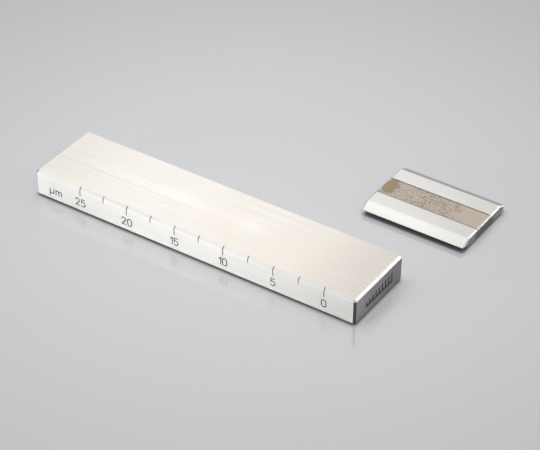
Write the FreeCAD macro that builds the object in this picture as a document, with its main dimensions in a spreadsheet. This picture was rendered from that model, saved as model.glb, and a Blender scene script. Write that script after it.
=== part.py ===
"""Fineness-of-grind gauge: a steel block with a tapered groove and a 0 to 25 micrometre
scale, and its loose double-edged scraper.

Millimetres.  The origin is the centre of the block's underside, +X runs along the block
from the deep end of the groove to its zero end, +Y from the scale side to the back,
and +Z up.
"""
import FreeCAD, Part
import Sketcher
import math
import os

DOCUMENT_NAME = "fineness_gauge"
SHEET_NAME = "sizes"

SIZES = {
    # The block.
    "block_length": 175.0,
    "block_width": 40.0,
    "block_height": 13.5,
    "top_chamfer": 1.1,
    "corner_chamfer": 1.0,
    "bottom_chamfer": 1.0,
    # The tapered groove, and the scale that reads its depth.
    "zero_place": 71.5,
    "interval": 13.3,
    "depth_step": 0.0025,
    "groove_width": 7.5,
    "groove_clearance": 1.0,
    # Engraved marks, filled with enamel.
    "engraving_depth": 0.2,
    "tick_width": 0.4,
    "major_tick_foot": 9.0,
    "minor_tick_foot": 10.5,
    "stroke_width": 0.5,
    "numeral_line": 3.55,
    "unit_line": 4.1,
    "unit_place": -75.9,
    # The bar mark on the zero end.
    "mark_start": -11.0,
    "mark_pitch": 2.65,
    "mark_line": 4.1,
    "mark_bar_width": 1.1,
    "mark_first_bar": 2.8,
    "mark_bar_rise": 0.3,
    # The scraper, lying flat behind the zero end of the block.
    "scraper_length": 54.0,
    "scraper_width": 40.5,      # over the sharp corners; 39.9 over the rounded edges
    "scraper_height": 5.5,
    "land_width": 29.8,
    "edge_radius": 0.25,
    "scraper_end_chamfer": 0.7,
    "recess_width": 12.9,
    "recess_depth": 0.5,
    "scraper_place_x": 74.0,
    "scraper_place_y": 71.0,
}

GROOVE_INTERVALS = 12       # the cut runs past the open end of the block
LEAST_GROOVE_VOLUME = 15.0
MOST_GROOVE_VOLUME = 20.0
MAJOR_TICKS = 6
MINOR_TICKS = 5
INTERVALS = 10
MARK_BARS = 9
LABELS = ("25", "20", "15", "10", "5", "0")
NEAR = 1e-6                 # two places closer than this are the same place

# Centre lines of the engraved characters.
CAP = 3.8                   # height of a numeral
X_LINE = 2.35               # height of the unit's small letters
ONE_FLAG = 0.95             # the 1's flag runs this far sideways and down
TWO_HEAD = 1.05             # radius
TWO_HEAD_END = 165.0        # angle at which the head's open end stops
FIVE_BOWL = 1.2             # radius
FIVE_BOWL_END = 140.0       # the bowl is open to the left beyond this angle, above and below
FIVE_BOWL_PLACE = 1.0
FIVE_BAR_START = 0.25
FIVE_BAR_END = 2.0
ZERO_WIDTH = 2.3
MU_CUP = 1.05               # radius
MU_TAIL = -1.4
EM_ARCH = 0.825             # radius
EM_ARCH_END = 160.0         # an arch leaves its stem a little below its own crown
GLYPH_WIDTHS = {
    "0": ZERO_WIDTH,
    "1": ONE_FLAG,
    "2": 2 * TWO_HEAD,
    "5": FIVE_BOWL_PLACE + FIVE_BOWL,
    "u": 2 * MU_CUP,
    "m": 4 * EM_ARCH,
}
SPACING = {"0": 1.1, "1": 0.95, "2": 1.1, "5": 1.1, "u": 1.3, "m": 0.0}

UP = FreeCAD.Vector(0, 0, 1)
DOWN = FreeCAD.Vector(0, 0, -1)
RIGHT = FreeCAD.Vector(1, 0, 0)
LEFT = FreeCAD.Vector(-1, 0, 0)
INTO_FRONT = FreeCAD.Vector(0, 1, 0)
GROUND = (0.0, "0.0")       # the height of the surface both pieces rest on

doc = FreeCAD.newDocument(DOCUMENT_NAME)
sheet = doc.addObject("Spreadsheet::Sheet", SHEET_NAME)


def fill_sheet():
    """One named size to a row."""
    for row, (alias, number) in enumerate(SIZES.items(), start=1):
        sheet.set(f"A{row}", alias)
        sheet.set(f"B{row}", str(number))
        sheet.setAlias(f"B{row}", alias)
    doc.recompute()


def measure(*terms):
    """A length made of sheet cells, given as (factor, alias): its number and its expression."""
    number = sum(factor * sheet.get(alias) for factor, alias in terms)
    expression = " + ".join(f"({factor}) * {SHEET_NAME}.{alias}" for factor, alias in terms)
    return number, expression


def bind(target, **expressions):
    """Ties properties of an object to sheet expressions; __ stands for a dot."""
    for name, (_, expression) in expressions.items():
        target.setExpression(name.replace("__", "."), expression)
    return target


def cell(alias):
    return measure((1, alias))


# ---------------------------------------------------------------- bodies and sketches

def new_body(label):
    body = doc.addObject("PartDesign::Body", label)
    body.Label = label
    body.AllowCompound = True
    return body


def plane(body, role):
    return next(item for item in body.Origin.OriginFeatures if item.Role == role)


def new_sketch(body, name, role):
    sketch = body.newObject("Sketcher::SketchObject", name)
    sketch.AttachmentSupport = [(plane(body, role), "")]
    sketch.MapMode = "FlatFace"
    return sketch


def polygon(sketch, corners):
    """A closed outline whose corners are pinned to sheet expressions."""
    points = [FreeCAD.Vector(across[0], along[0], 0) for across, along in corners]
    count = len(points)
    for index in range(count):
        sketch.addGeometry(Part.LineSegment(points[index], points[(index + 1) % count]), False)
    for index in range(count):
        sketch.addConstraint(Sketcher.Constraint("Coincident", index, 2, (index + 1) % count, 1))
    for index, corner in enumerate(corners):
        for kind, (number, expression) in zip(("DistanceX", "DistanceY"), corner):
            place = sketch.addConstraint(Sketcher.Constraint(kind, -1, 1, index, 1, number))
            sketch.setExpression(f"Constraints[{place}]", expression)
    doc.recompute()


def symmetric_feature(body, kind, name, sketch, length):
    """A pad or a pocket that runs the same way to both sides of its sketch."""
    feature = body.newObject(kind, name)
    feature.Profile = sketch
    feature.Type = "Length"
    feature.SideType = "Symmetric"
    bind(feature, Length=length)
    sketch.Visibility = False
    doc.recompute()
    return feature


def chamfer(body, name, base, elements, size):
    feature = body.newObject("PartDesign::Chamfer", name)
    feature.Base = (base, elements)
    bind(feature, Size=size)
    doc.recompute()
    return feature


def faces_at(feature, direction):
    """Names of the flat faces of a feature that look along a direction."""
    names = []
    for index, face in enumerate(feature.Shape.Faces, start=1):
        if face.normalAt(0, 0).getAngle(direction) < NEAR:
            names.append(f"Face{index}")
    return names


def edges_where(feature, test):
    return [f"Edge{index}" for index, edge in enumerate(feature.Shape.Edges, start=1) if test(edge)]


def is_upright(edge):
    box = edge.BoundBox
    return max(box.XLength, box.YLength) < NEAR


# ---------------------------------------------------------------- the block

def make_blank():
    """The ground block with its chamfers and its groove, before engraving."""
    body = new_body("block_blank")
    half_length = measure((0.5, "block_length"))
    half_width = measure((0.5, "block_width"))
    minus_half_length = measure((-0.5, "block_length"))
    minus_half_width = measure((-0.5, "block_width"))
    outline = new_sketch(body, "block_outline", "XY_Plane")
    polygon(outline, [
        (minus_half_length, minus_half_width),
        (half_length, minus_half_width),
        (half_length, half_width),
        (minus_half_length, half_width),
    ])
    bar = body.newObject("PartDesign::Pad", "block_bar")
    bar.Profile = outline
    bind(bar, Length=cell("block_height"))
    outline.Visibility = False
    doc.recompute()

    corners = chamfer(body, "corner_chamfers", bar, edges_where(bar, is_upright), cell("corner_chamfer"))
    top = chamfer(body, "top_chamfers", corners, faces_at(corners, UP), cell("top_chamfer"))
    bottom = chamfer(body, "bottom_chamfers", top, faces_at(top, DOWN), cell("bottom_chamfer"))

    # The groove's floor rises one depth step for each scale interval and comes out
    # of the top face at the zero mark.
    zero = cell("zero_place")
    top_face = cell("block_height")
    past_end = measure((1, "zero_place"), (-GROOVE_INTERVALS, "interval"))
    floor_at_end = measure((1, "block_height"), (-GROOVE_INTERVALS, "depth_step"))
    above = measure((1, "block_height"), (1, "groove_clearance"))
    wedge = new_sketch(body, "groove_profile", "XZ_Plane")
    polygon(wedge, [(zero, top_face), (past_end, floor_at_end), (past_end, above), (zero, above)])
    groove = symmetric_feature(body, "PartDesign::Pocket", "tapered_groove", wedge, cell("groove_width"))
    removed = bottom.Shape.Volume - groove.Shape.Volume
    print(f"groove removes {removed:.2f} mm3")
    if not LEAST_GROOVE_VOLUME < removed < MOST_GROOVE_VOLUME:
        raise RuntimeError("the tapered groove was not cut")
    body.Tip = groove
    doc.recompute()
    return body


# ---------------------------------------------------------------- scale ticks

def make_ticks(label, foot, first_interval, count):
    """Enamel in a row of engraved ticks that run down the chamfer and the front face."""
    body = new_body(label)
    face = measure((-0.5, "block_width"))
    face_inside = measure((-0.5, "block_width"), (1, "engraving_depth"))
    chamfer_foot = measure((1, "block_height"), (-1, "top_chamfer"))
    chamfer_head = measure((-0.5, "block_width"), (1, "top_chamfer"))
    head_inside = measure((-0.5, "block_width"), (1, "top_chamfer"), (1, "engraving_depth"))
    top_face = cell("block_height")
    profile = new_sketch(body, label + "_profile", "YZ_Plane")
    start = measure((1, "zero_place"), (first_interval - INTERVALS, "interval"))
    bind(profile, AttachmentOffset__Base__z=start)
    polygon(profile, [
        (face, cell(foot)),
        (face, chamfer_foot),
        (chamfer_head, top_face),
        (head_inside, top_face),
        (face_inside, chamfer_foot),
        (face_inside, cell(foot)),
    ])
    tick = symmetric_feature(body, "PartDesign::Pad", label + "_tick", profile, cell("tick_width"))
    row = body.newObject("PartDesign::LinearPattern", label + "_row")
    row.Originals = [tick]
    row.Direction = (plane(body, "X_Axis"), [""])
    row.Occurrences = count
    bind(row, Length=measure((2 * (count - 1), "interval")))
    body.Tip = row
    doc.recompute()
    return body


# ---------------------------------------------------------------- engraved characters

def line(start, end):
    return Part.LineSegment(FreeCAD.Vector(*start, 0), FreeCAD.Vector(*end, 0))


def arc(centre, radius, start, end):
    """An arc counter-clockwise from one angle to the other, in degrees."""
    circle = Part.Circle(FreeCAD.Vector(*centre, 0), UP, radius)
    return Part.ArcOfCircle(circle, math.radians(start), math.radians(end))


def on_arc(centre, radius, angle):
    turn = math.radians(angle)
    return centre[0] + radius * math.cos(turn), centre[1] + radius * math.sin(turn)


def stadium(middle, half_width, bottom, top):
    """A tall closed outline with round ends."""
    low = bottom + half_width
    high = top - half_width
    left = middle - half_width
    right = middle + half_width
    return [
        line((right, low), (right, high)),
        arc((middle, high), half_width, 0.0, 180.0),
        line((left, high), (left, low)),
        arc((middle, low), half_width, 180.0, 360.0),
    ]


def stem(middle, bottom, top):
    """A straight upright stroke, drawn by its own outline."""
    half_stroke = 0.5 * SIZES["stroke_width"]
    return stadium(middle, half_stroke, bottom - half_stroke, top + half_stroke)


def digit_one():
    shoulder = (ONE_FLAG, CAP)
    return [[line((0, CAP - ONE_FLAG), shoulder), line(shoulder, (ONE_FLAG, 0))]]


def digit_two():
    """A round head whose tail runs straight, tangent to it, down to the foot."""
    centre = (TWO_HEAD, CAP - TWO_HEAD)
    rise = math.atan2(centre[1], centre[0])
    spread = math.asin(TWO_HEAD / math.hypot(*centre))
    tangent = math.degrees(rise - spread) - 90.0
    return [[
        arc(centre, TWO_HEAD, tangent, TWO_HEAD_END),
        line(on_arc(centre, TWO_HEAD, tangent), (0, 0)),
        line((0, 0), (2 * TWO_HEAD, 0)),
    ]]


def digit_five():
    centre = (FIVE_BOWL_PLACE, FIVE_BOWL)
    corner = (FIVE_BAR_START, CAP)
    return [[
        line((FIVE_BAR_END, CAP), corner),
        line(corner, on_arc(centre, FIVE_BOWL, FIVE_BOWL_END)),
        arc(centre, FIVE_BOWL, -FIVE_BOWL_END, FIVE_BOWL_END),
    ]]


def letter_mu():
    right = 2 * MU_CUP
    cup = [
        line((0, X_LINE), (0, MU_CUP)),
        arc((MU_CUP, MU_CUP), MU_CUP, 180.0, 360.0),
        line((right, MU_CUP), (right, X_LINE)),
    ]
    return [cup, stem(0, MU_TAIL, MU_CUP), stem(right, 0, MU_CUP)]


def letter_em():
    spring = X_LINE - EM_ARCH
    strokes = [stem(0, 0, X_LINE)]
    for left in (0, 2 * EM_ARCH):
        right = left + 2 * EM_ARCH
        strokes.append([
            arc((left + EM_ARCH, spring), EM_ARCH, 0.0, EM_ARCH_END),
            line((right, spring), (right, 0)),
        ])
    return strokes


GLYPHS = {"1": digit_one, "2": digit_two, "5": digit_five, "u": letter_mu, "m": letter_em}


def stand_on_front(sketch, place_x, place_z):
    """Stands a flat sketch up on the front face, reading from the front."""
    sketch.Placement = FreeCAD.Placement(FreeCAD.Vector(), FreeCAD.Rotation(RIGHT, 90))
    face = measure((-0.5, "block_width"))
    bind(sketch, Placement__Base__x=place_x, Placement__Base__y=face, Placement__Base__z=place_z)


def sink(name, face):
    """A solid from an outline on the front face to the floor of the engraving."""
    solid = doc.addObject("Part::Extrusion", name)
    solid.Base = face
    solid.DirMode = "Custom"
    solid.Dir = INTO_FRONT
    solid.Solid = True
    bind(solid, LengthFwd=cell("engraving_depth"))
    return solid


def stroke(name, path, place_x, place_z):
    """One pass of a round-ended cutter along an open path, or a stem's closed outline."""
    sketch = doc.addObject("Sketcher::SketchObject", name + "_path")
    sketch.addGeometry(path, False)
    stand_on_front(sketch, place_x, place_z)
    doc.recompute()
    if sketch.Shape.Wires[0].isClosed():
        return sink(name, sketch)
    outline = doc.addObject("Part::Offset2D", name + "_outline")
    outline.Source = sketch
    outline.Mode = "Pipe"
    outline.Join = "Arc"
    outline.Fill = True
    bind(outline, Value=measure((0.5, "stroke_width")))
    return sink(name, outline)


def digit_zero(name, place_x, place_z):
    """The closed loop of a 0, drawn by its inner and outer edges."""
    half_stroke = 0.5 * sheet.get("stroke_width")
    half_width = 0.5 * ZERO_WIDTH
    sketch = doc.addObject("Sketcher::SketchObject", name + "_edges")
    for offset in (half_stroke, -half_stroke):
        sketch.addGeometry(stadium(0, half_width + offset, -offset, CAP + offset), False)
    stand_on_front(sketch, place_x, place_z)
    doc.recompute()
    return sink(name, sketch)


def write_text(name, text, middle, line_alias):
    """Engraves a short text centred on a place; each character becomes one solid."""
    gaps = sum(SPACING[character] for character in text[:-1])
    width = sum(GLYPH_WIDTHS[character] for character in text) + gaps
    cursor = -0.5 * width
    characters = []
    for index, character in enumerate(text):
        label = f"{name}_{index}"
        number, expression = middle
        if character == "0":
            shift = cursor + 0.5 * ZERO_WIDTH
            place = (number + shift, f"{expression} + ({shift:.4f})")
            characters.append(digit_zero(label, place, cell(line_alias)))
        else:
            place = (number + cursor, f"{expression} + ({cursor:.4f})")
            strokes = [
                stroke(f"{label}_{part}", path, place, cell(line_alias))
                for part, path in enumerate(GLYPHS[character]())
            ]
            characters.append(fuse(label, strokes) if len(strokes) > 1 else strokes[0])
        cursor += GLYPH_WIDTHS[character] + SPACING[character]
    return characters


def fuse(name, pieces):
    joined = doc.addObject("Part::MultiFuse", name)
    joined.Shapes = pieces
    joined.Refine = True
    doc.recompute()
    return joined


def group(label, pieces):
    compound = doc.addObject("Part::Compound", label)
    compound.Label = label
    compound.Links = pieces
    doc.recompute()
    return compound


def make_numerals():
    """The scale's values, each centred under its own major tick."""
    characters = []
    for index, text in enumerate(LABELS):
        middle = measure((1, "zero_place"), (2 * index - INTERVALS, "interval"))
        characters += write_text(f"value_{text}", text, middle, "numeral_line")
    return group("numeral_fill", characters)


def make_unit():
    return group("unit_fill", write_text("unit", "um", cell("unit_place"), "unit_line"))


# ---------------------------------------------------------------- the mark on the zero end

def make_end_mark():
    """A plain mark: a row of bars that grow from a base line, like the groove's depth."""
    end_inside = measure((0.5, "block_length"), (-1, "engraving_depth"))
    base = doc.addObject("Part::Box", "mark_base")
    bind(
        base,
        Length=cell("engraving_depth"),
        Width=measure((MARK_BARS - 1, "mark_pitch"), (1, "mark_bar_width")),
        Height=cell("mark_bar_width"),
        Placement__Base__x=end_inside,
        Placement__Base__y=cell("mark_start"),
        Placement__Base__z=cell("mark_line"),
    )
    pieces = [base]
    for index in range(MARK_BARS):
        bar = doc.addObject("Part::Box", f"mark_bar_{index}")
        bind(
            bar,
            Length=cell("engraving_depth"),
            Width=cell("mark_bar_width"),
            Height=measure((1, "mark_first_bar"), (index, "mark_bar_rise")),
            Placement__Base__x=end_inside,
            Placement__Base__y=measure((1, "mark_start"), (index, "mark_pitch")),
            Placement__Base__z=cell("mark_line"),
        )
        pieces.append(bar)
    mark = fuse("end_mark_fill", pieces)
    mark.Label = "end_mark_fill"
    return mark


def make_block(blank, fills):
    """The engraved block: every enamel fill leaves its own recess."""
    cutters = group("engraving_cutters", fills)
    block = doc.addObject("Part::Cut", "gauge_block")
    block.Label = "gauge_block"
    block.Base = blank
    block.Tool = cutters
    doc.recompute()
    return block


# ---------------------------------------------------------------- the scraper

def make_scraper():
    """A flat steel blade with a rounded working edge along each long side."""
    body = new_body("scraper_blade")
    edge = measure((0.5, "scraper_width"))
    minus_edge = measure((-0.5, "scraper_width"))
    land = measure((0.5, "land_width"))
    minus_land = measure((-0.5, "land_width"))
    middle = measure((0.5, "scraper_height"))
    top = cell("scraper_height")
    profile = new_sketch(body, "scraper_profile", "YZ_Plane")
    polygon(profile, [
        (minus_edge, middle),
        (minus_land, GROUND),
        (land, GROUND),
        (edge, middle),
        (land, top),
        (minus_land, top),
    ])
    bar = symmetric_feature(body, "PartDesign::Pad", "scraper_bar", profile, cell("scraper_length"))
    both_ends = faces_at(bar, RIGHT) + faces_at(bar, LEFT)
    ends = chamfer(body, "end_chamfers", bar, both_ends, cell("scraper_end_chamfer"))

    half_length = 0.5 * sheet.get("scraper_length")
    edge_place = 0.5 * sheet.get("scraper_width")

    def is_working_edge(candidate):
        box = candidate.BoundBox
        return box.XLength > half_length and abs(abs(box.YMin) - edge_place) < NEAR

    rounds = body.newObject("PartDesign::Fillet", "working_edges")
    rounds.Base = (ends, edges_where(ends, is_working_edge))
    bind(rounds, Radius=cell("edge_radius"))
    doc.recompute()

    # A shallow recess runs the whole length of both flats.
    feature = rounds
    half_recess = measure((0.5, "recess_width"))
    minus_half_recess = measure((-0.5, "recess_width"))
    below = measure((-1, "recess_depth"))
    above = measure((1, "scraper_height"), (1, "recess_depth"))
    sides = {
        "lower_recess": (below, cell("recess_depth")),
        "upper_recess": (measure((1, "scraper_height"), (-1, "recess_depth")), above),
    }
    for name, (low, high) in sides.items():
        slot = new_sketch(body, name + "_profile", "YZ_Plane")
        polygon(slot, [
            (minus_half_recess, low),
            (half_recess, low),
            (half_recess, high),
            (minus_half_recess, high),
        ])
        cut = symmetric_feature(
            body, "PartDesign::Pocket", name, slot, measure((1, "scraper_length"), (2, "edge_radius"))
        )
        print(f"{name} removes {feature.Shape.Volume - cut.Shape.Volume:.1f} mm3")
        feature = cut
    body.Tip = feature
    bind(
        body,
        Placement__Base__x=cell("scraper_place_x"),
        Placement__Base__y=cell("scraper_place_y"),
    )
    doc.recompute()
    return body


# ---------------------------------------------------------------- check and write

def check_document():
    for item in doc.Objects:
        if "Invalid" in item.State or "Error" in item.State:
            raise RuntimeError(f"{item.Label} did not compute: {item.State}")


def write_parts(subparts):
    os.makedirs("parts", exist_ok=True)
    for item in subparts:
        shape = item.Shape
        if shape.isNull() or not shape.isValid():
            raise RuntimeError(f"{item.Label} has no valid shape")
        solids = len(shape.Solids)
        print(f"{item.Label}: {solids} solids, {shape.Volume:.2f} mm3")
        shape.exportStep(f"parts/{item.Label}.step")


def main():
    fill_sheet()
    fills = [
        make_ticks("major_tick_fill", "major_tick_foot", 0, MAJOR_TICKS),
        make_ticks("minor_tick_fill", "minor_tick_foot", 1, MINOR_TICKS),
        make_numerals(),
        make_unit(),
        make_end_mark(),
    ]
    block = make_block(make_blank(), fills)
    scraper = make_scraper()
    doc.recompute()
    check_document()
    write_parts([block, *fills, scraper])


main()
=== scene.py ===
"""Fineness-of-grind gauge and its scraper: materials, light and camera.  Metres throughout."""
import math

import bpy
from mathutils import Matrix, Vector


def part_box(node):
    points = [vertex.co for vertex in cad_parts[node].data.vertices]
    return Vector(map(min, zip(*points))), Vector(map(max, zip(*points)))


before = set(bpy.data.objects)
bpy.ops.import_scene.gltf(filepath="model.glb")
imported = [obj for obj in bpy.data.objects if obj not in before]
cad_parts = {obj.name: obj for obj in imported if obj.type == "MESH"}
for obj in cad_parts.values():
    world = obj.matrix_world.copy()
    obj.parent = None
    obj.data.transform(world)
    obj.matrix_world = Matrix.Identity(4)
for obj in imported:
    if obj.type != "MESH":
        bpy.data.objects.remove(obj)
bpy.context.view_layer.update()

MM = 0.001

# ------------------------------------------------------------------ places, from the frame where it has them
BLOCK_LOW, BLOCK_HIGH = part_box("gauge_block")
BLADE_LOW, BLADE_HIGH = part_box("scraper_blade")
TICKS_LOW, TICKS_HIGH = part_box("major_tick_fill")
BLADE_MIDDLE = 0.5 * (BLADE_LOW + BLADE_HIGH)
TICK_HALF_WIDTH = 0.2 * MM
ZERO_MARK = TICKS_HIGH.x - TICK_HALF_WIDTH
DEEP_MARK = TICKS_LOW.x + TICK_HALF_WIDTH
GROOVE_HALF_WIDTH = 3.75 * MM
RECESS_HALF_WIDTH = 6.45 * MM
RECESS_DEPTH = 0.5 * MM
PATCH_MIDDLE = (BLADE_LOW.x + 3.4 * MM, 1.0 * MM)       # along the blade, and sideways of its middle line
PATCH_RADII = (3.9 * MM, 5.4 * MM)
WORN_WIDTH = 0.7 * MM
BUMP_HEIGHT = 0.02 * MM

# ------------------------------------------------------------------ table, surround and camera
TABLE_MIDDLE = (-0.005, 0.041, 0.0)
TABLE_REACH = 0.35                          # where the painted pool of light on the table is at its dimmest
TABLE_HALF_SIZE = 3.0
SURROUND_STRENGTH = 0.81

AIM = Vector((0.0167, 0.0205, 0.0))         # the camera looks at this point, from DISTANCE away
DISTANCE = 0.990
AZIMUTH = -33.319                           # degrees, as are the next two
ELEVATION = 36.741
ROLL = 0.384
LENS = 143.5                                # millimetres, Blender's own unit for it

# ------------------------------------------------------------------ colours
# Some of these stand in for reflections in the photograph's studio: those of the end faces, the
# chamfers, the undercut slopes, the zero end and the blade's far bevel.
IVORY_DARK = (0.75, 0.712, 0.66, 1)         # the block's top face
IVORY_LIGHT = (0.80, 0.766, 0.722, 1)
IVORY_CLOUD = (0.79, 0.742, 0.68, 1)
IVORY_PALE = (0.80, 0.777, 0.745, 1)
# painted shade towards both ends of the top face
IVORY_ZERO_END_SHADE = (0.60, 0.565, 0.525, 1)
IVORY_DEEP_END_SHADE = (0.68, 0.64, 0.59, 1)
SIDE_DARK = (0.77, 0.762, 0.73, 1)          # its long sides
SIDE_LIGHT = (0.83, 0.82, 0.785, 1)
# painted shade towards both ends of the long sides
SIDE_ZERO_END_SHADE = (0.64, 0.635, 0.61, 1)
SIDE_DEEP_END_SHADE = (0.68, 0.673, 0.65, 1)
END_DARK = (0.36, 0.358, 0.352, 1)          # its end faces, darkened by painted shade
END_LIGHT = (0.435, 0.431, 0.423, 1)
END_BACK_SHADE = (0.272, 0.269, 0.263, 1)
CHAMFER_DEEP_END = (0.72, 0.71, 0.69, 1)    # its chamfers: painted shade on the front and corner ones, a painted highlight on the end ones
CHAMFER_ZERO_END = (0.69, 0.681, 0.662, 1)
END_CHAMFER_HIGHLIGHT = (0.975, 0.97, 0.95, 1)
CORNER_CHAMFER_SHADE = (0.13, 0.126, 0.12, 1)
SCRATCH = (0.5, 0.48, 0.45, 1)              # its marks, and painted shade along the groove's walls
GROOVE_WALL_SHADE = (0.25, 0.23, 0.2, 1)

WORN_EDGE = (0.92, 0.91, 0.9, 1)            # both pieces
# painted shade on the slopes that overhang the table
UNDERCUT_SHADE = (0.015, 0.014, 0.013, 1)

BLADE_DARK = (0.735, 0.726, 0.703, 1)
BLADE_LIGHT = (0.805, 0.796, 0.772, 1)
BLADE_FLAT = (0.74, 0.729, 0.708, 1)
# painted shade on the blade's high end, far bevel and end faces; a painted highlight on its end chamfers
BLADE_HIGH_END_SHADE = (0.64, 0.625, 0.60, 1)
BLADE_FAR_BEVEL_SHADE = (0.50, 0.49, 0.475, 1)
BLADE_END_CHAMFER = (0.93, 0.925, 0.905, 1)
BLADE_END_MIDDLE = (0.198, 0.17, 0.146, 1)
BLADE_END_SIDES = (0.345, 0.333, 0.315, 1)
TARNISH_LIGHT = (0.50, 0.435, 0.365, 1)
TARNISH_DARK = (0.235, 0.185, 0.14, 1)
TARNISH_PATCH = (0.29, 0.21, 0.12, 1)
# painted shade along the recess's edges
RECESS_EDGE_SHADE = (0.17, 0.145, 0.12, 1)

ENAMEL_BLACK = (0.014, 0.0135, 0.013, 1)
ENAMEL_WORN = (0.06, 0.057, 0.054, 1)
# the table's painted pool of light, bright under the object and dim at TABLE_REACH
TABLE_BRIGHT = (0.685, 0.687, 0.71, 1)
TABLE_DIM = (0.44, 0.442, 0.455, 1)

# ------------------------------------------------------------------ shader building blocks


class Graph:
    """A material's node tree, with one short method for each kind of node that is used."""

    def __init__(self, name):
        self.material = bpy.data.materials.new(name)
        self.material.use_nodes = True
        self.tree = self.material.node_tree
        self.tree.nodes.clear()
        output = self.tree.nodes.new("ShaderNodeOutputMaterial")
        self.shader = self.tree.nodes.new("ShaderNodeBsdfPrincipled")
        self.tree.links.new(self.shader.outputs["BSDF"], output.inputs["Surface"])

    def put(self, socket, value):
        if isinstance(value, bpy.types.NodeSocket):
            self.tree.links.new(value, socket)
        else:
            socket.default_value = value

    def new(self, kind, inputs=(), **settings):
        node = self.tree.nodes.new(kind)
        for key, value in settings.items():
            setattr(node, key, value)
        for key, value in dict(inputs).items():
            self.put(node.inputs[key], value)
        return node

    def place(self):
        return self.new("ShaderNodeTexCoord").outputs["Object"]

    def facing(self):
        return self.new("ShaderNodeTexCoord").outputs["Normal"]

    def split(self, vector):
        node = self.new("ShaderNodeSeparateXYZ", {0: vector})
        return node.outputs[0], node.outputs[1], node.outputs[2]

    def math(self, operation, first, second=0.0, third=0.0):
        node = self.new("ShaderNodeMath", operation=operation)
        self.put(node.inputs[0], first)
        self.put(node.inputs[1], second)
        self.put(node.inputs[2], third)
        return node.outputs[0]

    def product(self, first, *others):
        for other in others:
            first = self.math("MULTIPLY", first, other)
        return first

    def magnitude(self, value):
        return self.math("ABSOLUTE", value)

    def apart(self, value, place):
        """The distance between two coordinates."""
        return self.magnitude(self.math("SUBTRACT", value, place))

    def stretch(self, vector, scale):
        node = self.new("ShaderNodeVectorMath", operation="MULTIPLY")
        self.put(node.inputs[0], vector)
        self.put(node.inputs[1], scale)
        return node.outputs[0]

    def noise(self, vector, scale=1.0, detail=2.0, rough=0.5, distortion=0.0):
        inputs = {"Vector": vector, "Scale": scale, "Detail": detail}
        inputs.update({"Roughness": rough, "Distortion": distortion})
        return self.new("ShaderNodeTexNoise", inputs).outputs["Fac"]

    def range(self, value, low, high, to_low=0.0, to_high=1.0, smooth=True, clamp=True):
        """Maps low..high to to_low..to_high; high may be below low."""
        curve = "SMOOTHSTEP" if smooth else "LINEAR"
        node = self.new("ShaderNodeMapRange", interpolation_type=curve, clamp=clamp)
        for index, item in enumerate((value, low, high, to_low, to_high)):
            self.put(node.inputs[index], item)
        return node.outputs[0]

    def mix(self, factor, first, second, blend="MIX"):
        node = self.new("ShaderNodeMix", data_type="RGBA", blend_type=blend)
        self.put(node.inputs[0], factor)
        self.put(node.inputs[6], first)
        self.put(node.inputs[7], second)
        return node.outputs[2]

    def tint(self, colour, mask, amount, tint):
        """Moves a colour part of the way to another where the mask is 1."""
        return self.mix(self.math("MULTIPLY", mask, amount), colour, tint)

    def mix_number(self, factor, first, second):
        node = self.new("ShaderNodeMix", data_type="FLOAT")
        self.put(node.inputs[0], factor)
        self.put(node.inputs[2], first)
        self.put(node.inputs[3], second)
        return node.outputs[0]

    def mix_vector(self, factor, first, second):
        node = self.new("ShaderNodeMix", data_type="VECTOR")
        self.put(node.inputs[0], factor)
        self.put(node.inputs[4], first)
        self.put(node.inputs[5], second)
        return node.outputs[1]

    def across(self, ends):
        """The direction across the grinding streaks, along which the gloss spreads."""
        streaks = self.mix_vector(ends, (1, 0, 0), (0, 1, 0))
        node = self.new("ShaderNodeVectorMath", operation="CROSS_PRODUCT")
        self.put(node.inputs[0], self.facing())
        self.put(node.inputs[1], streaks)
        return node.outputs[0]

    def bump(self, height, strength, distance, normal=None):
        node = self.new("ShaderNodeBump", {"Height": height, "Strength": strength, "Distance": distance})
        if normal is not None:
            self.put(node.inputs["Normal"], normal)
        return node.outputs[0]

    def rounded(self, radius):
        return self.new("ShaderNodeBevel", {"Radius": radius}, samples=6).outputs[0]

    def finish(self, **values):
        for key, value in values.items():
            self.put(self.shader.inputs[key.replace("_", " ")], value)
        return self.material


def edge_nearness(graph, low, high, reach):
    """1 on the outer edges of a box-like piece, 0 further from them than reach."""
    gaps = []
    for coordinate, bottom, top in zip(graph.split(graph.place()), low, high):
        offset = graph.apart(coordinate, 0.5 * (bottom + top))
        gaps.append(graph.math("SUBTRACT", 0.5 * (top - bottom), offset))
    smaller = graph.math("MINIMUM", gaps[0], gaps[1])
    larger = graph.math("MAXIMUM", gaps[0], gaps[1])
    second = graph.math("MAXIMUM", smaller, graph.math("MINIMUM", larger, gaps[2]))
    return graph.range(second, 0.0, reach, 1.0, 0.0)


def wear(graph, low, high):
    """Patchy bright wear along a piece's outer edges."""
    patches = graph.range(graph.noise(graph.place(), 420.0, 3.0), 0.42, 0.6)
    return graph.product(edge_nearness(graph, low, high, WORN_WIDTH), patches)


def end_faces(graph, nx):
    return graph.range(graph.magnitude(nx), 0.75, 0.9)


def undercut(graph, nz):
    """Mask for painted shade: 1 on the slopes that overhang the table, 0 on the flat underside and
    everywhere else.
    """
    overhang = graph.range(nz, -0.08, -0.25)
    flat = graph.range(nz, -0.985, -0.995)
    return graph.product(overhang, graph.math("SUBTRACT", 1.0, flat))


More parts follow.
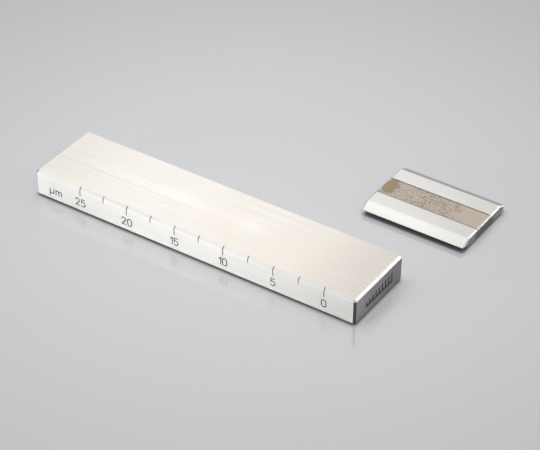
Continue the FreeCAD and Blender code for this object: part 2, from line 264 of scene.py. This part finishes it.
def grain(graph, ends):
    """Grinding streaks: along X on the long faces and along Y on the end faces.

    Returns a fine streak, a broad band and a soft cloud, each from 0 to 1.
    """
    place = graph.place()
    fine_long = graph.stretch(place, (18.0, 2600.0, 2600.0))
    fine_end = graph.stretch(place, (2600.0, 60.0, 2600.0))
    broad_long = graph.stretch(place, (6.0, 260.0, 260.0))
    broad_end = graph.stretch(place, (260.0, 20.0, 260.0))
    fine = graph.noise(graph.mix_vector(ends, fine_long, fine_end), detail=4.0, rough=0.65)
    broad = graph.noise(graph.mix_vector(ends, broad_long, broad_end), detail=3.0, rough=0.55)
    cloud = graph.noise(place, scale=26.0, detail=3.0, rough=0.5, distortion=0.3)
    return fine, broad, cloud


def scratches(graph):
    """Sparse hairline scratches in two slanting directions, 1 on a scratch and 0 off it."""
    lines = []
    for turn, stretch in ((0.16, (14.0, 1100.0, 1100.0)), (-0.42, (20.0, 900.0, 900.0))):
        inputs = {"Vector": graph.place(), "Rotation": (0.0, 0.0, turn)}
        turned = graph.new("ShaderNodeMapping", inputs).outputs[0]
        lines.append(graph.range(graph.noise(graph.stretch(turned, stretch), detail=1.0), 0.735, 0.77))
    return graph.math("MAXIMUM", lines[0], lines[1])


def groove_lines(graph):
    """Painted shade along the groove's two walls, growing with its depth, and a mask of its floor."""
    x, y, z = graph.split(graph.place())
    sideways = graph.magnitude(y)
    line = graph.range(graph.apart(sideways, GROOVE_HALF_WIDTH), 0.0, 0.6 * MM, 1.0, 0.0)
    depth = graph.range(x, ZERO_MARK, DEEP_MARK, 0.0, 1.0, smooth=False)
    on_top = graph.range(z, BLOCK_HIGH.z - 0.2 * MM, BLOCK_HIGH.z - 0.1 * MM)
    here = graph.product(depth, on_top)
    floor = graph.range(sideways, GROOVE_HALF_WIDTH, GROOVE_HALF_WIDTH + 0.1 * MM, 1.0, 0.0)
    return graph.product(line, here), graph.product(floor, here)


# ------------------------------------------------------------------ the block's steel
def block_top_colour(graph, broad, cloud):
    """Ivory, paler on the groove's deeper half, and darkened towards both ends by painted shade."""
    x, y = graph.split(graph.place())[:2]
    colour = graph.mix(graph.range(broad, 0.3, 0.7), IVORY_DARK, IVORY_LIGHT)
    colour = graph.mix(graph.range(cloud, 0.35, 0.65), colour, IVORY_CLOUD)
    deeper_half = graph.range(x, -30 * MM, 20 * MM, 1.0, 0.0)
    paler = graph.product(deeper_half, graph.range(y, -12 * MM, 12 * MM, 0.2, 0.5))
    colour = graph.mix(paler, colour, IVORY_PALE)
    # Painted shade: darker towards the zero end, with a ragged edge, and towards the deep end.
    ragged = graph.math("ADD", x, graph.range(cloud, 0.3, 0.7, -5 * MM, 5 * MM))
    colour = graph.tint(colour, graph.range(ragged, 50 * MM, BLOCK_HIGH.x), 0.6, IVORY_ZERO_END_SHADE)
    return graph.mix(graph.range(x, -45 * MM, -85 * MM, 0.0, 0.4), colour, IVORY_DEEP_END_SHADE)


def block_side_colour(graph, broad):
    x = graph.split(graph.place())[0]
    colour = graph.mix(graph.range(broad, 0.3, 0.7), SIDE_DARK, SIDE_LIGHT)
    # Painted shade: darker towards both ends.
    colour = graph.tint(colour, graph.range(x, 20 * MM, 60 * MM), 0.1, SIDE_ZERO_END_SHADE)
    return graph.mix(graph.range(x, -40 * MM, -75 * MM, 0.0, 0.35), colour, SIDE_DEEP_END_SHADE)


def block_end_colour(graph, cloud):
    y = graph.split(graph.place())[1]
    # Painted shade: the end faces are dark with cloudy tone, darkest towards the back.
    colour = graph.mix(graph.range(cloud, 0.35, 0.65), END_DARK, END_LIGHT)
    return graph.mix(graph.range(y, -18 * MM, 16 * MM, smooth=False), colour, END_BACK_SHADE)


def block_steel():
    graph = Graph("ground_steel")
    nx, ny, nz = graph.split(graph.facing())
    x = graph.split(graph.place())[0]
    ends = end_faces(graph, nx)
    fine, broad, cloud = grain(graph, ends)

    top = graph.range(nz, 0.9, 0.97)
    colour = graph.mix(top, block_side_colour(graph, broad), block_top_colour(graph, broad, cloud))
    colour = graph.mix(ends, colour, block_end_colour(graph, cloud))
    # Painted shade on the front chamfers, a little deeper towards the zero end.
    front_chamfer = graph.product(graph.range(ny, -0.6, -0.68), graph.range(nz, 0.6, 0.68))
    front_chamfer_shade = graph.mix(graph.range(x, 10 * MM, 70 * MM), CHAMFER_DEEP_END, CHAMFER_ZERO_END)
    colour = graph.mix(front_chamfer, colour, front_chamfer_shade)
    # Painted highlight on the chamfers of the +X end only.
    end_chamfer = graph.product(graph.range(nx, 0.6, 0.68), graph.range(nz, 0.6, 0.68))
    colour = graph.mix(end_chamfer, colour, END_CHAMFER_HIGHLIGHT)
    streak = graph.range(fine, 0.3, 0.7, 0.965, 1.03)
    streaks = graph.new("ShaderNodeCombineColor", {0: streak, 1: streak, 2: streak}).outputs[0]
    colour = graph.mix(1.0, colour, streaks, "MULTIPLY")
    scratch = scratches(graph)
    colour = graph.tint(colour, scratch, 0.18, SCRATCH)
    wall, floor = groove_lines(graph)
    # Painted shade along the groove's walls.
    colour = graph.tint(colour, wall, 0.15, GROOVE_WALL_SHADE)
    worn = wear(graph, BLOCK_LOW, BLOCK_HIGH)
    colour = graph.tint(colour, worn, 0.5, WORN_EDGE)
    # Painted shade: the upright chamfers at the +X corners are near black.
    corner = graph.product(graph.range(nx, 0.5, 0.65), graph.range(graph.magnitude(ny), 0.5, 0.65))
    colour = graph.mix(corner, colour, CORNER_CHAMFER_SHADE)
    # Painted shade on the slopes that overhang the table.
    colour = graph.tint(colour, undercut(graph, nz), 0.93, UNDERCUT_SHADE)

    rough = graph.range(fine, 0.3, 0.7, 0.38, 0.46, smooth=False)
    rough = graph.math("ADD", rough, graph.range(cloud, 0.35, 0.65, -0.02, 0.04))
    rough = graph.math("SUBTRACT", rough, graph.math("MULTIPLY", floor, 0.05))
    rough = graph.mix_number(graph.math("MULTIPLY", worn, 0.6), rough, 0.2)
    ridges = graph.mix_number(0.4, fine, broad)
    height = graph.math("SUBTRACT", ridges, graph.math("MULTIPLY", scratch, 0.5))
    return graph.finish(
        Base_Color=colour,
        Metallic=0.9,
        Roughness=rough,
        Normal=graph.bump(height, 0.18, BUMP_HEIGHT, graph.rounded(0.15 * MM)),
        Anisotropic=0.8,
        Tangent=graph.across(ends),
    )


# ------------------------------------------------------------------ the scraper's steel
def recess_mask(graph, offset, nx):
    """1 on the floors of the blade's two recesses; offset is the distance from its middle line."""
    x, _, z = graph.split(graph.place())
    floor_height = 0.5 * (BLADE_HIGH.z - BLADE_LOW.z) - RECESS_DEPTH
    inside = graph.range(offset, RECESS_HALF_WIDTH, RECESS_HALF_WIDTH + 0.12 * MM, 1.0, 0.0)
    from_middle = graph.apart(z, BLADE_MIDDLE.z)
    deep = graph.range(from_middle, floor_height + 0.1 * MM, floor_height + 0.2 * MM, 1.0, 0.0)
    level = graph.range(graph.magnitude(nx), 0.3, 0.5, 1.0, 0.0)
    rim = graph.range(x, BLADE_HIGH.x - 1.3 * MM, BLADE_HIGH.x - 0.9 * MM, 1.0, 0.0)
    return graph.product(inside, deep, level, rim)


def tarnish_patch(graph, x, sideways, wander):
    """One solid oval patch with a ragged outline near the recess's left end."""
    parts = {}
    for index, (value, middle, radius) in enumerate(zip((x, sideways), PATCH_MIDDLE, PATCH_RADII)):
        parts[index] = graph.range(value, middle, middle + radius, smooth=False, clamp=False)
    oval = graph.new("ShaderNodeCombineXYZ", parts).outputs[0]
    from_patch = graph.new("ShaderNodeVectorMath", {0: oval}, operation="LENGTH").outputs["Value"]
    ragged = graph.math("MULTIPLY_ADD", wander, 0.5, from_patch)
    return graph.range(ragged, 0.85, 1.05, 1.0, 0.0)


def tarnish_blotches(graph, along, wander):
    """Fine dark speckles in clusters, thinner at both ends of the recess."""
    speckle = graph.range(graph.noise(graph.place(), 1350.0, 2.0, 0.5), 0.43, 0.60)
    clusters = graph.range(graph.noise(graph.place(), 330.0, 3.0, 0.6), 0.32, 0.60, 0.35, 1.0)
    fading = graph.range(graph.math("MULTIPLY_ADD", wander, 0.08, along), 0.64, 0.82, 1.0, 0.12)
    thickening = graph.range(along, 0.2, 0.45, 0.55, 1.0)
    return graph.product(speckle, clusters, fading, thickening)


def blade_steel():
    graph = Graph("blade_steel")
    nx, ny, nz = graph.split(graph.facing())
    x, y = graph.split(graph.place())[:2]
    sideways = graph.math("SUBTRACT", y, BLADE_MIDDLE.y)
    offset = graph.magnitude(sideways)
    ends = end_faces(graph, nx)
    fine, broad, cloud = grain(graph, ends)

    colour = graph.mix(graph.range(broad, 0.3, 0.7), BLADE_DARK, BLADE_LIGHT)
    flat = graph.range(graph.magnitude(nz), 0.985, 0.995)
    colour = graph.tint(colour, flat, 0.5, BLADE_FLAT)
    # Painted shade, growing from the middle towards the high end, with a ragged edge.
    ragged = graph.math("ADD", x, graph.range(cloud, 0.3, 0.7, -4 * MM, 4 * MM))
    colour = graph.tint(colour, graph.range(ragged, BLADE_MIDDLE.x, BLADE_HIGH.x), 0.5, BLADE_HIGH_END_SHADE)
    # Painted shade: the far bevel is darker than the near one.
    far_bevel = graph.product(graph.range(ny, 0.3, 0.4), graph.range(nz, 0.5, 0.7))
    colour = graph.mix(far_bevel, colour, BLADE_FAR_BEVEL_SHADE)
    # Painted highlight on the chamfers of the +X end only.
    end_chamfer = graph.product(graph.range(nx, 0.6, 0.68), graph.range(nz, 0.4, 0.5))
    colour = graph.mix(end_chamfer, colour, BLADE_END_CHAMFER)
    # Painted shade darkens the end faces, browner in the middle and greyer towards the sides.
    outward = graph.range(offset, RECESS_HALF_WIDTH, RECESS_HALF_WIDTH + 4 * MM)
    colour = graph.mix(ends, colour, graph.mix(outward, BLADE_END_MIDDLE, BLADE_END_SIDES))

    recess = recess_mask(graph, offset, nx)
    along = graph.range(x, BLADE_LOW.x, BLADE_HIGH.x, smooth=False)
    wander = graph.range(graph.noise(graph.place(), 300.0, 3.0), 0.3, 0.7, -0.5, 0.5)
    blotches = tarnish_blotches(graph, along, wander)
    tarnish = graph.mix(blotches, TARNISH_LIGHT, TARNISH_DARK)
    tarnish = graph.tint(tarnish, tarnish_patch(graph, x, sideways, wander), 0.85, TARNISH_PATCH)
    colour = graph.mix(recess, colour, tarnish)

    # Painted shade: a dark line on the near flat beside the recess, and another inside along its walls.
    from_wall = graph.apart(offset, RECESS_HALF_WIDTH)
    near_flat = graph.product(graph.range(nz, 0.5, 0.8), graph.range(sideways, -1 * MM, 0.0, 1.0, 0.0))
    rim_shade = graph.product(graph.range(from_wall, 0.3 * MM, 0.9 * MM, 0.75, 0.0), near_flat)
    shade = graph.product(graph.range(from_wall, 0.1 * MM, 0.6 * MM, 0.35, 0.0), recess)
    colour = graph.mix(graph.math("MAXIMUM", rim_shade, shade), colour, RECESS_EDGE_SHADE)
    # Painted shade on the slopes that overhang the table.
    colour = graph.tint(colour, undercut(graph, nz), 0.93, UNDERCUT_SHADE)
    colour = graph.tint(colour, wear(graph, BLADE_LOW, BLADE_HIGH), 0.5, WORN_EDGE)

    rough = graph.range(fine, 0.3, 0.7, 0.38, 0.46, smooth=False)
    height = graph.mix_number(recess, graph.mix_number(0.3, fine, broad), blotches)
    return graph.finish(
        Base_Color=colour,
        Metallic=graph.mix_number(recess, 0.9, graph.range(blotches, 0.0, 1.0, 0.6, 0.4)),
        Roughness=graph.mix_number(recess, rough, graph.range(blotches, 0.0, 1.0, 0.45, 0.62)),
        Normal=graph.bump(height, 0.25, BUMP_HEIGHT, graph.rounded(0.12 * MM)),
        Anisotropic=0.8,
        Tangent=graph.across(ends),
    )


# ------------------------------------------------------------------ enamel
def enamel():
    graph = Graph("black_enamel")
    speckle = graph.noise(graph.place(), 1800.0, 3.0)
    colour = graph.mix(graph.range(speckle, 0.4, 0.7), ENAMEL_BLACK, ENAMEL_WORN)
    rough = graph.range(speckle, 0.3, 0.7, 0.5, 0.75)
    return graph.finish(Base_Color=colour, Roughness=rough, Normal=graph.bump(speckle, 0.3, BUMP_HEIGHT))


def paint(node, material):
    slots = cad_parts[node].data.materials
    slots.clear()
    slots.append(material)


def add_materials():
    paint("gauge_block", block_steel())
    paint("scraper_blade", blade_steel())
    black = enamel()
    for node in ("major_tick_fill", "minor_tick_fill", "numeral_fill", "unit_fill", "end_mark_fill"):
        paint(node, black)


# ------------------------------------------------------------------ table
def table_material():
    """Smooth grey, with a painted pool of light: brightest under the object and dimmer away from it."""
    graph = Graph("table")
    place = graph.place()
    inputs = {0: place, 1: TABLE_MIDDLE}
    away = graph.new("ShaderNodeVectorMath", inputs, operation="DISTANCE").outputs["Value"]
    cloud = graph.range(graph.noise(place, 3.0, 2.0), 0.3, 0.7, -0.01, 0.01)
    pool_falloff = graph.math("ADD", graph.range(away, 0.0, TABLE_REACH), cloud)
    colour = graph.mix(pool_falloff, TABLE_BRIGHT, TABLE_DIM)
    rough = graph.range(graph.noise(place, 40.0, 3.0), 0.3, 0.7, 0.09, 0.11)
    return graph.finish(Base_Color=colour, Roughness=rough, IOR=2.2)


def add_table():
    half = TABLE_HALF_SIZE
    corners = [(-half, -half, 0), (half, -half, 0), (half, half, 0), (-half, half, 0)]
    mesh = bpy.data.meshes.new("table_top")
    mesh.from_pydata(corners, [], [(0, 1, 2, 3)])
    mesh.materials.append(table_material())
    table = bpy.data.objects.new("table_top", mesh)
    bpy.context.scene.collection.objects.link(table)


# ------------------------------------------------------------------ light
def add_softbox(name, direction, distance, size, power, receivers=None):
    """A rectangular area light that faces the origin; receivers limits what it lights."""
    data = bpy.data.lights.new(name, "AREA")
    data.shape = "RECTANGLE"
    data.size, data.size_y = size
    data.energy = power
    light = bpy.data.objects.new(name, data)
    towards = Vector(direction).normalized()
    light.location = towards * distance
    light.rotation_euler = towards.to_track_quat("Z", "Y").to_euler()
    bpy.context.scene.collection.objects.link(light)
    if receivers:
        light.light_linking.receiver_collection = receivers


def add_surround():
    """A plain bright surround, dimmer near the horizon and towards the front."""
    world = bpy.data.worlds.new("studio")
    bpy.context.scene.world = world
    world.use_nodes = True
    tree = world.node_tree
    direction = tree.nodes.new("ShaderNodeTexCoord")
    axes = tree.nodes.new("ShaderNodeSeparateXYZ")
    both = tree.nodes.new("ShaderNodeMath")
    both.operation = "MULTIPLY"
    background = tree.nodes["Background"]
    background.inputs["Strength"].default_value = SURROUND_STRENGTH
    tree.links.new(direction.outputs["Generated"], axes.inputs[0])
    for index, (axis, low, high, dimmest) in enumerate((("Z", 0.1, 0.8, 0.1), ("Y", -0.6, 0.1, 0.5))):
        ramp = tree.nodes.new("ShaderNodeMapRange")
        ramp.interpolation_type = "SMOOTHSTEP"
        ramp.inputs["From Min"].default_value = low
        ramp.inputs["From Max"].default_value = high
        ramp.inputs["To Min"].default_value = dimmest
        ramp.inputs["To Max"].default_value = 1.0
        tree.links.new(axes.outputs[axis], ramp.inputs["Value"])
        tree.links.new(ramp.outputs["Result"], both.inputs[index])
    tree.links.new(both.outputs[0], background.inputs["Color"])


def add_light():
    add_surround()
    metal = bpy.data.collections.new("metal")
    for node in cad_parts.values():
        metal.objects.link(node)
    add_softbox("back_key", (-0.47, 0.66, 0.62), 2.4, (0.45, 0.5), 2.01, metal)
    add_softbox("overhead_left", (-0.45, -0.1, 0.9), 2.0, (0.7, 0.7), 3.58)
    add_softbox("front_low", (-0.48, -0.87, 0.10), 2.4, (0.5, 0.4), 15.27)
    add_softbox("zenith", (0.0, 0.1, 0.99), 2.0, (0.6, 0.6), 13.5)
    add_softbox("left_fill", (-0.72, 0.15, 0.68), 2.2, (0.7, 0.7), 6.45, metal)
    add_softbox("back_right", (0.60, 0.67, 0.44), 2.0, (0.3, 0.3), 4.6, metal)


# ------------------------------------------------------------------ camera
def add_camera():
    azimuth, elevation, roll = (math.radians(angle) for angle in (AZIMUTH, ELEVATION, ROLL))
    ahead = math.cos(elevation)
    forward = Vector((math.sin(azimuth) * ahead, math.cos(azimuth) * ahead, -math.sin(elevation)))
    level = Vector((math.cos(azimuth), -math.sin(azimuth), 0))
    upward = level.cross(forward)
    right = math.cos(roll) * level + math.sin(roll) * upward
    top = -math.sin(roll) * level + math.cos(roll) * upward
    data = bpy.data.cameras.new("camera")
    data.lens = LENS
    camera = bpy.data.objects.new("camera", data)
    turn = Matrix((right, top, -forward)).transposed()
    camera.matrix_world = Matrix.Translation(AIM - DISTANCE * forward) @ turn.to_4x4()
    bpy.context.scene.collection.objects.link(camera)
    bpy.context.scene.camera = camera
    bpy.context.scene.view_settings.view_transform = "Standard"


add_camera()
add_materials()
add_table()
add_light()
